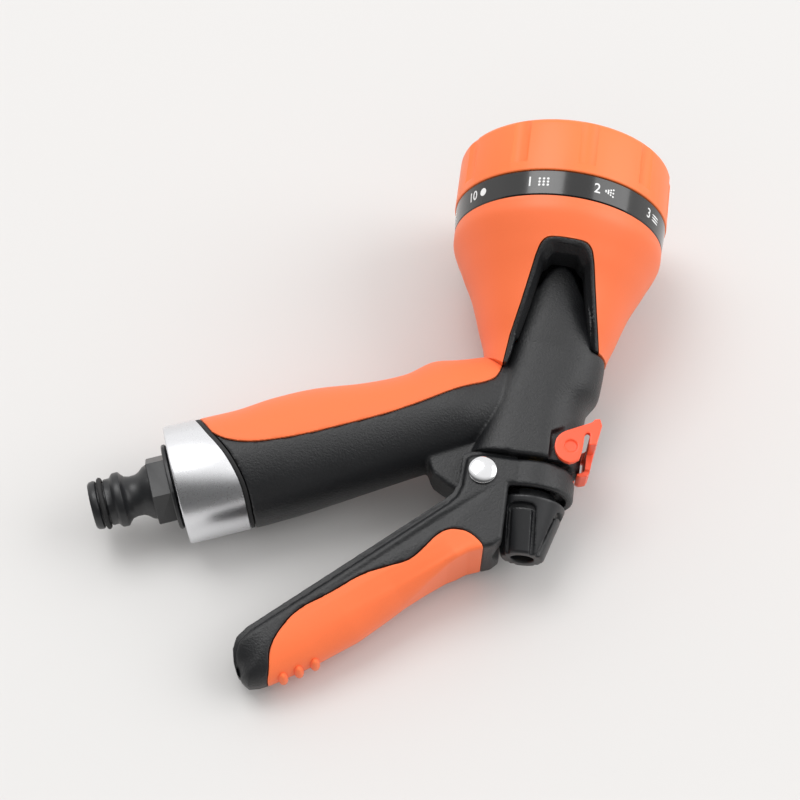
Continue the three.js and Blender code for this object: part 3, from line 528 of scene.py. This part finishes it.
# ---- Collar ------------------------------------------------------------------------
# A turned aluminium sleeve on the end of the handle, cut off at a swept edge, over a
# black lip. It is satin anodised.
collar = spun("collar_sleeve", [(18.4, 100), (20.3, 100), (20.3, 128.2), (20.15, 128.7), (19.7, 129),
                                (15.1, 129), (15.1, 127.2), (18.4, 127.2)], 160)
fused(collar, past_collar("swept", 0), "INTERSECT")
rounded(collar, 0.25)

# Aluminium, turned and satin anodised: bright, with a faint fine grain over it.
anodised, anodised_shader = finish("aluminium_turned_anodised", "#E6E7EA", 0.27, 1.0)
grained(anodised, anodised_shader, 0.6, 0.004, swing=0.07, shade=0.03)
fitted(collar, handle, "nozzle_body", "collar_metal", anodised, "collar_ring")

# The lip is a nitrile rubber ring squeezed between the handle shell and the sleeve.
nitrile, nitrile_shader = finish("nitrile_moulded", "#1A1A1B", 0.62)
grained(nitrile, nitrile_shader, 0.6, 0.02)
lip = spun("collar_lip", [(18.4, 100), (20.0, 100), (20.0, 129), (18.4, 129)], 128)
fused(lip, past_collar("lip_back", -1.6), "INTERSECT")
cut(lip, past_collar("lip_front", -0.3))
rounded(lip, 0.3)
fitted(lip, handle, "nozzle_body", "seal_rubber", nitrile, "collar_seal")

# ---- Hose tail ---------------------------------------------------------------------
# The click-on tail that a hose connector snaps on to: acetal, turned in shape, with
# a hexagon to tighten it and an O-ring in its groove.
tail = spun("hose_tail", [
    (5.5, 115.6), (11, 115.6), (11, 129.6), (14.2, 129.6), (14.6, 130), (14.6, 130.8), (14.2, 131.2),
    (9.6, 131.2), (9.5, 137.5), (8.9, 139), (7.7, 140.4), (7, 141.8), (6.9, 144), (7.3, 145.6),
    (8.4, 146.7), (9.2, 147.2), (9.3, 147.6), (9.3, 149.2), (9.1, 149.6), (8.1, 150.4), (7.9, 150.7),
    (7.9, 152.5), (7.7, 152.7), (6.9, 152.7), (6.9, 155.3), (7.9, 155.3), (8.2, 155.6), (8.3, 156.2),
    (8.1, 157.4), (7.6, 158), (5.5, 158)], 96)
across = 21 / math.sqrt(3)
hexagon = moved(slab("hexagon", [(across * math.cos(k * math.pi / 3), across * math.sin(k * math.pi / 3))
                                 for k in range(6)], 130.6, 137.5, 0.5),
                Matrix.Rotation(-math.pi / 2, 4, "X"))
cut(hexagon, spun("hexagon_bore", [(0, 100), (8, 100), (8, 150), (0, 150)], 64))
join(tail, hexagon)
rounded(tail, 0.2)

# Acetal, moulded smooth: deep black with a soft gloss.
acetal, acetal_shader = finish("acetal_moulded_smooth", "#1E1F21", 0.33)
grained(acetal, acetal_shader, 0.8, 0.012, swing=0.06)
fitted(tail, handle, "nozzle_body", "smooth_black", acetal, "hose_adapter")

seal = spun("tail_o_ring", [(8.05 + 0.85 * math.cos(k * math.pi / 8), 154 + 0.85 * math.sin(k * math.pi / 8))
                            for k in range(16)], 96)
fitted(seal, handle, "nozzle_body", "seal_rubber", nitrile, "adapter_oring", crease=80)

# ---- Trigger -----------------------------------------------------------------------
# The rear trigger: a nylon lever whose yoke goes round the valve stem, hung on the
# rivet. Its cheeks are widest at the rivet and it narrows towards the tip.
lever_line = Vector((-60, -55)).normalized()
lever_outline = [(-22.2, -33.4), (-22.6, -43), (-24, -47), (-26.5, -49.7), (-30, -52.8), (-84.5, -100),
                 (-87.4, -103.6), (-88, -107.5), (-87.2, -111.5), (-85.6, -115), (-83, -116.8), (-79.5, -116),
                 (-76, -114.3), (-63, -106), (-50, -96.3), (-40, -86.6), (-30, -76), (-24, -70), (-18, -65.6),
                 (-10, -62.5), (-7.6, -60), (-7.4, -40.6), (-4, -40.6), (-4, -31.3), (-17, -31.3), (-20.6, -32)]
grip_outline = smooth_line([(-13.5, -63), (-16, -60.5), (-20, -58.5), (-25, -58.6), (-29, -61), (-32.5, -65.5),
                            (-37, -70.3), (-44, -73.6), (-52, -77.5), (-61, -84.5), (-70, -91), (-75, -98),
                            (-77.4, -105), (-77, -112), (-78, -124)], 4) + [(-60, -124), (-10, -80)]
half_width = curve_through([(-60, 14), (26, 14), (44, 12.4), (114, 8.7), (130, 7.9)])


def lever_block(name, inset, soft):
    """The whole lever, drawn in by inset all round, narrowing towards its tip."""
    shifted = [(x + lever_line.y * inset, y - lever_line.x * inset) for x, y in lever_outline]
    piece = slab(name, shifted, -14, 14, soft)
    for point in piece.data.vertices:
        along = (point.co.xy - pivot.xy).dot(lever_line)
        point.co.z *= (half_width(along) - inset) / 14
    return piece


def domed(piece, depth):
    """Rounds the lever's outer edge over, from flat at the given depth to a full nose."""
    outer = [Vector(corner) for corner in lever_outline[8:20]]
    for point in piece.data.vertices:
        near = depth
        for start, end in zip(outer, outer[1:]):
            place = max(0, min(1, (point.co.xy - start).dot(end - start) / (end - start).length_squared))
            near = min(near, (point.co.xy - start.lerp(end, place)).length)
        along = (point.co.xy - pivot.xy).dot(lever_line)
        share = 0.88 * max(0, min(1, (along - 24) / 22))
        point.co.z *= 1 - share + share * math.sqrt(1 - (1 - near / depth) ** 2)
    return piece


def knob_room():
    """Space that the flow knob needs behind the yoke."""
    return spun("knob_room", [(0, -40.4), (13.8, -40.4), (13.8, -42.7), (9.5, -64.6), (9.5, -90), (0, -90)], 64)


grown_region = slab("grip_hole", grip_outline, -half_depth, half_depth)
lever = cut(lever_block("lever", 0, 1.6), grown_region)
join(lever, lever_block("lever_core", 2.2, 0))
yoke = spun("yoke", [(0, -40.6), (14, -40.6), (14.8, -39.8), (14.8, -32.1), (14, -31.3), (0, -31.3)], 96)
join(lever, yoke)
cut(lever, spun("under_yoke", [(0, -42), (12.4, -42), (12.4, -37.3), (0, -37.3)], 96),
    rod("lug_room", pivot.x, pivot.y, 7, -8.6, 8.6),
    slab("web_room", [(-36.6, -26), (-36.6, -42), (-28, -50), (-20, -47.5), (pivot.x, pivot.y - 3),
                      (pivot.x + 7, pivot.y), (pivot.x + 7, -26)], -8.6, 8.6),
    knob_room(),
    spun("stem_hole", [(0, -42), (5.6, -42), (5.6, -30), (0, -30)], 64),
    slab("claw_notch", [(13.6, -33.7), (20, -33.7), (20, -30), (13.6, -30)], -6.5, 6.5),
    slab("saving", [(-32, -50), (-34, -59), (-79, -98.5), (-84, -97)], -5.2, 5.2),
    rod("lever_bore", pivot.x, pivot.y, 2.6, -half_depth, half_depth, 32))
join(lever, slab("ridge", [(6.5, -39), (8.5, -39), (8.5, -36.3), (6.5, -36.3)], -3.5, 3.5))
softened(lever, 0.42, 4)
domed(lever, 13)
fitted(lever, nozzle, "trigger", "barrel_black", nylon, "trigger_lever")

# Soft grip on the trigger: the same rubber, set into the lever's outer edge, with
# three small pips near the tip.
pad = fused(lever_block("trigger_pad", 0, 2), slab("pad_area", [(x + 0.2, y - 0.2) for x, y in grip_outline],
                                                       -half_depth, half_depth), "INTERSECT")
cut(pad, lever_block("pad_inside", 1.9, 0), knob_room())
softened(pad, 0.42, 4)
domed(pad, 13)
for x, y in ((-72.3, -112), (-67.6, -109.1), (-62.8, -106)):
    bpy.ops.object.select_all(action="DESELECT")
    bpy.ops.mesh.primitive_uv_sphere_add(segments=24, ring_count=16, radius=1.6, location=(x, y, 0))
    pip = bpy.context.object
    pip.scale = (1, 1.1, 3)
    bpy.ops.object.transform_apply(location=True, scale=True)
    join(pad, pip)
fitted(pad, nozzle, "trigger", "grip_orange", soft_rubber, "trigger_grip")

# ---- Rivet -------------------------------------------------------------------------
# The trigger turns on a steel rivet, nickel plated and polished, with a low dome
# pressed in each head.
dome = [(4.85 * math.cos(k * math.pi / 20), 14.8 + 1.3 * math.sin(k * math.pi / 20)) for k in range(11)]
head = [(2.3, 14.3), (4.65, 14.3), (4.85, 14.5)] + dome
head[-1] = (0, head[-1][1])
rivet = spun("rivet", [(x, -y) for x, y in reversed(head)] + head, 64)
plated, plated_shader = finish("steel_nickel_plated", "#E6E7E9", 0.12, 1.0)
grained(plated, plated_shader, 3.0, 0.02, swing=0.04, shade=0.02)
moved(rivet, Matrix.Translation((pivot.x, pivot.y, 0)) @ Matrix.Rotation(math.pi / 2, 4, "X"))
fitted(rivet, nozzle, "nozzle_body", "rivet_metal", plated, "lever_rivet", crease=50)

# ---- Flow knob ---------------------------------------------------------------------
# The knob on the end of the valve stem limits how far the valve opens. It tapers
# back, and has four U-shaped grooves round it, each round a broad rib for the fingers.
knob = spun("knob", [(2.8, -42.7), (11.9, -42.7), (12.3, -42.9), (12.5, -43.5), (7.55, -60.1), (7.3, -61),
                     (6.7, -61.6), (4.2, -61.6), (3.8, -61.2), (3.8, -57.8), (4.9, -57.8), (4.9, -44.3),
                     (2.8, -44.3)], 128)
for k in range(4):
    outer = smooth_line([(4.7, -64), (4.7, -48.6), (4.5, -46.6), (3.2, -45.5), (0, -45.2)], 4)
    inner = smooth_line([(3.3, -65), (3.3, -49), (3.15, -48), (2.4, -47.4), (0, -47.2)], 4)
    pocket = slab("pocket", outer + [(-x, y) for x, y in reversed(outer[:-1])], 0, 20)
    rib = slab("rib", inner + [(-x, y) for x, y in reversed(inner[:-1])], -1, 25)
    for point in pocket.data.vertices:
        if point.co.z < 10:
            point.co.z = 5.6 + (point.co.y + 61.6) * 0.27 - abs(point.co.x) * 0.12
    cut(pocket, rib)
    moved(pocket, Matrix.Rotation(math.radians(90 * k - 12), 4, "Y"))
    cut(knob, pocket)
softened(knob, 0.3, 3)
fitted(knob, nozzle, "knob", "smooth_black", acetal, "flow_knob")

# ---- Lock clip ---------------------------------------------------------------------
# A bright acetal clip that swings on a pin through the barrel and holds the trigger's
# yoke. Two cheeks with a boss and a blind hole are joined by the thumb tab.
boss = [(11.5 + 5.5 * math.cos(a), -25 + 5.5 * math.sin(a)) for a in [math.radians(d) for d in range(0, 360, 12)]]
cheek = smooth_line([(7.2, -21.6), (9, -20), (12, -18.5), (15.4, -16.8)], 3) + [
    (17.8, -15.6), (18.6, -14.4), (20.3, -14.2), (21.2, -16.5), (19.9, -23), (19.2, -29.4), (16.2, -30.6),
    (16.8, -28.4), (17.3, -25.5), (17.8, -21.8), (17.4, -19.8), (16.4, -19.5), (15.7, -20.6), (15.5, -25.5),
    (14.8, -29.2), (13, -30.6), (11.5, -31), (9.6, -30.5), (8, -29.5), (6.6, -27.6), (6.1, -25.6), (6.3, -23.2)]
clip = slab("clip", cheek, 13, 15.2)
join(clip, slab("clip_other", cheek, -15.2, -13),
     slab("thumb_tab", [(18.1, -16.4), (18.9, -14.6), (20.3, -14.2), (21.2, -16.5), (19.9, -23), (19.2, -29.3),
                        (17.3, -29.3), (17.5, -20)], -15.2, 15.2),
     slab("claw", [(17.4, -27), (18.9, -27.4), (19.2, -29.6), (18.4, -31.2), (16.2, -31.9), (14.9, -31.4),
                   (14.8, -30.8), (16, -30.4), (17.3, -29.6)], -5, 5))
beside = [(16, -24.2), (24, -22.6), (24, -36), (16, -36)]
cut(clip, slab("beside_claw", beside, 6, 17), slab("beside_claw_lower", beside, -17, -6))
cut(clip, rod("clip_bore", 11.5, -25, 1.6, -13.9, 13.9, 32),
    rod("hole_upper", 11.5, -25, 2.2, 14.5, 16), rod("hole_lower", 11.5, -25, 2.2, -16, -14.5))
softened(clip, 0.26, 3)
clip_plastic, clip_shader = finish("acetal_moulded_bright", "#FB5A36", 0.36, subsurface_weight=0.0)
grained(clip_plastic, clip_shader, 1.0, 0.01, swing=0.05, shade=0.03)
fitted(clip, nozzle, "clip", "clip_orange", clip_plastic, "lock_clip")

# ---- Dial --------------------------------------------------------------------------
# The turning head that picks the pattern: a deep ABS ring with ten shallow scallops
# for the fingers and a rounded front edge.
dial_radius = 38
dial_front = 86.9
front_round = [(dial_radius - 2.6 + 2.6 * math.cos(k * math.pi / 16),
                dial_front - 2.6 + 2.6 * math.sin(k * math.pi / 16))
               for k in range(9)]
dial = spun("dial", [(34, 66), (37.7, 66), (38, 66.3)] + front_round + [
    (32.2, 86.9), (31.5, 86.2), (31.5, 83.4), (34, 83.4)], 200)
for k in range(10):
    angle = math.radians(36 * k + 9)
    scallop = moved(rod("scallop", 0, 0, 4.9, -1, 18.5, 64),
                    Matrix.Translation((41.65 * math.sin(angle), 86.9 + 1, 41.65 * math.cos(angle)))
                    @ Matrix.Rotation(math.pi / 2, 4, "X"))
    cut(dial, scallop)
rounded(dial, 0.45, 3, 18)
dial_plastic, dial_shader = finish("abs_moulded_satin_dial", "#FB7A3C", 0.4, subsurface_weight=0.0)
grained(dial_plastic, dial_shader, 0.35, 0.012, swing=0.05, shade=0.03)
fitted(dial, nozzle, "dial", "dial_orange", dial_plastic, "dial_ring", crease=30)

# ---- Index band --------------------------------------------------------------------
# A gloss black band between the dial and the cone that turns with the dial. The
# patterns' numbers and signs are pad printed on it in white.
band = spun("band", [(35.2, 56.7), (36.7, 56.7), (37, 57), (37.6, 65.4), (37.3, 65.7), (35.2, 65.7)], 200)
gloss_black, gloss_shader = finish("abs_moulded_gloss", "#0E0E0F", 0.16, coat_weight=0.4, coat_roughness=0.08)
grained(gloss_black, gloss_shader, 2.0, 0.006, swing=0.04)
fitted(band, nozzle, "dial", "gloss_black", gloss_black, "index_band")

ink, ink_shader = finish("white_pad_print", "#E9EAEA", 0.5)
grained(ink, ink_shader, 0.5, 0.004, shade=0.05)
marks = []
signs = ("dots", "fan", "bar", "ring", "drop", "dots", "fan", "bar", "ring", "drop")
for k, sign in enumerate(signs):
    bpy.ops.object.select_all(action="DESELECT")
    bpy.ops.object.text_add()
    number = bpy.context.object
    number.data.body = str(k + 1)
    number.data.size = 5
    number.data.offset = 0.03
    number.data.align_x = "RIGHT"
    number.data.align_y = "CENTER"
    number.data.resolution_u = 4
    bpy.ops.object.convert(target="MESH")
    parts = [number]
    if sign == "dots":
        shapes = [(2.2 + 1.5 * c, r * 1.15, 0.42, 0.42) for c in range(3) for r in (-1, 0, 1)]
    elif sign == "ring":
        shapes = [(3.4 + 1.5 * math.cos(a * math.tau / 8), 1.5 * math.sin(a * math.tau / 8), 0.4, 0.4)
                  for a in range(8)]
    elif sign == "bar":
        shapes = [(3.6, r, 2.4, 0.28) for r in (-1, 0, 1)]
    elif sign == "fan":
        shapes = [(2 + 0.95 * c, r * 0.36 * (c + 0.5), 0.33, 0.33) for c in range(4) for r in (-1, 0, 1)]
    else:
        shapes = [(3.2, 0, 1.45, 1.45)]
    for x, y, wide, high in shapes:
        bpy.ops.mesh.primitive_circle_add(vertices=16, radius=1, fill_type="TRIFAN", location=(x, y, 0),
                                          scale=(wide, high, 1))
        parts.append(bpy.context.object)
        parts[-1].scale = (wide, high, 1)
    for part in parts:
        part.select_set(True)
    bpy.context.view_layer.objects.active = number
    bpy.ops.object.transform_apply(location=True, rotation=True, scale=True)
    bpy.ops.object.join()
    start = math.radians(36 * k - 18)
    for point in number.data.vertices:
        around = start + point.co.x / dial_radius
        up = 61.3 + point.co.y
        reach = 37.0 + 0.6 * (up - 57) / 8.4 + 0.03
        point.co = (reach * math.sin(around), up, reach * math.cos(around))
    marks.append(number)
for mark in marks:
    mark.select_set(True)
bpy.context.view_layer.objects.active = marks[0]
bpy.ops.object.join()
prints = marks[0]
prints.name = "band_print"
only(prints)
bpy.ops.object.mode_set(mode="EDIT")
bpy.ops.mesh.select_all(action="SELECT")
bpy.ops.mesh.remove_doubles(threshold=0.001)
bpy.ops.mesh.normals_make_consistent(inside=False)
bpy.ops.object.mode_set(mode="OBJECT")
layer = prints.modifiers.new("layer", "SOLIDIFY")
layer.thickness = 0.08
layer.offset = 0
bpy.ops.object.modifier_apply(modifier=layer.name)
fitted(prints, nozzle, "dial", "gloss_black", ink, crease=20)

# ---- Spray plate -------------------------------------------------------------------
# The front plate inside the dial, moulded in black acetal. Each of its ten outlets has
# its own set of holes in a shallow round seat.
plate_front = 83.1
plate_back = 80
plate = spun("plate", [(2.6, plate_back), (33.6, plate_back), (33.6, plate_front - 0.3), (33.3, plate_front),
                       (9.6, plate_front), (9.2, plate_front + 0.25), (7.6, plate_front + 0.25),
                       (7.2, plate_front), (2.6, plate_front)], 160)


def peg(x, z, radius, low, high, sides=24):
    """A round cutter along the spray axis."""
    return moved(rod("peg", 0, 0, radius, -high, -low, sides),
                 Matrix.Translation((x, 0, z)) @ Matrix.Rotation(math.pi / 2, 4, "X"))


for k in range(10):
    angle = k * math.tau / 10
    x, z = 20 * math.sin(angle), 20 * math.cos(angle)
    cut(plate, peg(x, z, 5.2, plate_front - 0.7, plate_front + 1, 40))
    count, spread, size = ((1, 0, 2.2), (6, 3.1, 0.7), (3, 2.6, 0.9), (8, 3.4, 0.55), (2, 2.2, 1.2))[k % 5]
    for m in range(count):
        spin = angle + m * math.tau / count
        cut(plate, peg(x + spread * math.sin(spin), z + spread * math.cos(spin), size, 79, 84))
    outer = angle + math.pi / 10
    for step in (-0.09, 0.09):
        cut(plate, peg(29 * math.sin(outer + step), 29 * math.cos(outer + step), 0.8, 79, 84))
rounded(plate, 0.12, 1, 40)
fitted(plate, nozzle, "dial", "smooth_black", acetal, "spray_plate")

# ---- Screw and washer at the middle of the dial ------------------------------------
# A stainless screw holds the dial on the port plate and lets it turn. Its head is
# turned and has a cross recess.
screw = spun("screw", [(0, 51), (1.5, 51), (1.5, 84.4), (4.3, 84.4), (4.6, 84.7), (4.6, 85.4), (4.2, 86),
                       (3.2, 86.4), (0, 86.5)], 64)
stainless, stainless_shader = finish("stainless_turned", "#C3C5C8", 0.28, 1.0, anisotropic=0.3)
grained(stainless, stainless_shader, 0.5, 0.006, swing=0.08, shade=0.04)
for wide, high in ((2.6, 0.5), (0.5, 2.6)):
    slot = moved(slab("slot", [(-wide, -high), (wide, -high), (wide, high), (-wide, high)], 85.4, 88),
                 Matrix.Rotation(-math.pi / 2, 4, "X"))
    cut(screw, slot)
rounded(screw, 0.12, 2)
fitted(screw, nozzle, "nozzle_body", "steel", stainless, "dial_screw")

# ---- Pieces inside -----------------------------------------------------------------
# The valve, its seals and the detent keep their modelled shapes. Each gets the finish
# of what it is: turned brass, drawn spring steel, rubber or acetal.
brass, brass_shader = finish("brass_turned", "#C9A55C", 0.3, 1.0)
grained(brass, brass_shader, 0.8, 0.01, swing=0.08, shade=0.06)
inside = {
    "valve_seat": brass, "valve_stem": brass, "seal_nut": brass, "knob_insert": brass,
    "return_spring": stainless, "detent_spring": stainless, "detent_ball": plated, "clip_pin": stainless,
    "dial_washer": stainless, "inlet_filter": stainless,
    "valve_seal": nitrile, "gland_oring": nitrile, "port_seal": nitrile, "inlet_washer": nitrile,
    "gland_nut": acetal, "lift_collar": acetal, "outlet_funnel": acetal, "port_plate": acetal,
    "turret_disc": acetal,
}
for node, material in inside.items():
    mesh = frame["nodes"][node].data
    mesh.materials.clear()
    mesh.materials.append(material)

# ---- Floor, light and camera -------------------------------------------------------
# A plain pale floor in a room that is bright on the head side, as by a window wall, and
# dark on the other. One soft light hangs over the nozzle and a weaker one to its right.
# The camera looks steeply down on the nozzle.
bpy.ops.object.select_all(action="DESELECT")
bpy.ops.mesh.primitive_plane_add(size=8)
floor = bpy.context.object
floor.name = "floor"
paper, paper_shader = finish("paper_backdrop", "#D4D3D2", 0.75)
floor.data.materials.append(paper)

scene = bpy.context.scene
scene.view_settings.view_transform = "Standard"
scene.view_settings.look = "None"
world = bpy.data.worlds.new("studio")
scene.world = world
world.use_nodes = True
backdrop = world.node_tree.nodes["Background"]
backdrop.inputs["Color"].default_value = linear("#F4F3F2")
towards = world.node_tree.nodes.new("ShaderNodeVectorMath")
towards.operation = "DOT_PRODUCT"
towards.inputs[1].default_value = (0.1, 0.85, 0.5)
window = world.node_tree.nodes.new("ShaderNodeMapRange")
window.inputs["From Min"].default_value = -0.1
window.inputs["From Max"].default_value = 0.35
window.inputs["To Min"].default_value = 0.14
window.inputs["To Max"].default_value = 1.15
around = world.node_tree.nodes.new("ShaderNodeTexCoord")
world.node_tree.links.new(around.outputs["Generated"], towards.inputs[0])
world.node_tree.links.new(towards.outputs["Value"], window.inputs["Value"])
rays = world.node_tree.nodes.new("ShaderNodeLightPath")
bounced = world.node_tree.nodes.new("ShaderNodeMath")
bounced.operation = "MULTIPLY"
bounced.inputs[1].default_value = 0.75
brighter = world.node_tree.nodes.new("ShaderNodeMath")
brighter.operation = "MAXIMUM"
world.node_tree.links.new(rays.outputs["Is Diffuse Ray"], bounced.inputs[0])
world.node_tree.links.new(window.outputs["Result"], brighter.inputs[0])
world.node_tree.links.new(bounced.outputs["Value"], brighter.inputs[1])
world.node_tree.links.new(brighter.outputs["Value"], backdrop.inputs["Strength"])


def softbox(name, place, size, power):
    """A square soft light aimed at the nozzle."""
    bpy.ops.object.light_add(type="AREA", location=place)
    lamp = bpy.context.object
    lamp.name = name
    lamp.data.size = size
    lamp.data.energy = power
    lamp.rotation_euler = (Vector((0, 0, 0.02)) - Vector(place)).to_track_quat("-Z", "Y").to_euler()


softbox("key", (-0.95, 0.75, 2.8), 1.6, 30)
softbox("fill", (2.6, 0.5, 2.2), 2.4, 40)

eye = nozzle @ Vector((-16.04, -247.42, 572.9))
target = nozzle @ Vector((-47.85, -9.96, 0))
up_hint = turn @ Vector((-0.1328, 0.9911, 0))
back = (eye - target).normalized()
right = up_hint.cross(back).normalized()
camera_turn = Matrix((right, back.cross(right), back)).transposed()
camera_data = bpy.data.cameras.new("camera")
camera = bpy.data.objects.new("camera", camera_data)
scene.collection.objects.link(camera)
camera.matrix_world = Matrix.Translation(eye) @ camera_turn.to_4x4()
camera_data.lens = 81
camera_data.sensor_width = 36
camera_data.clip_start = 0.01
scene.camera = camera
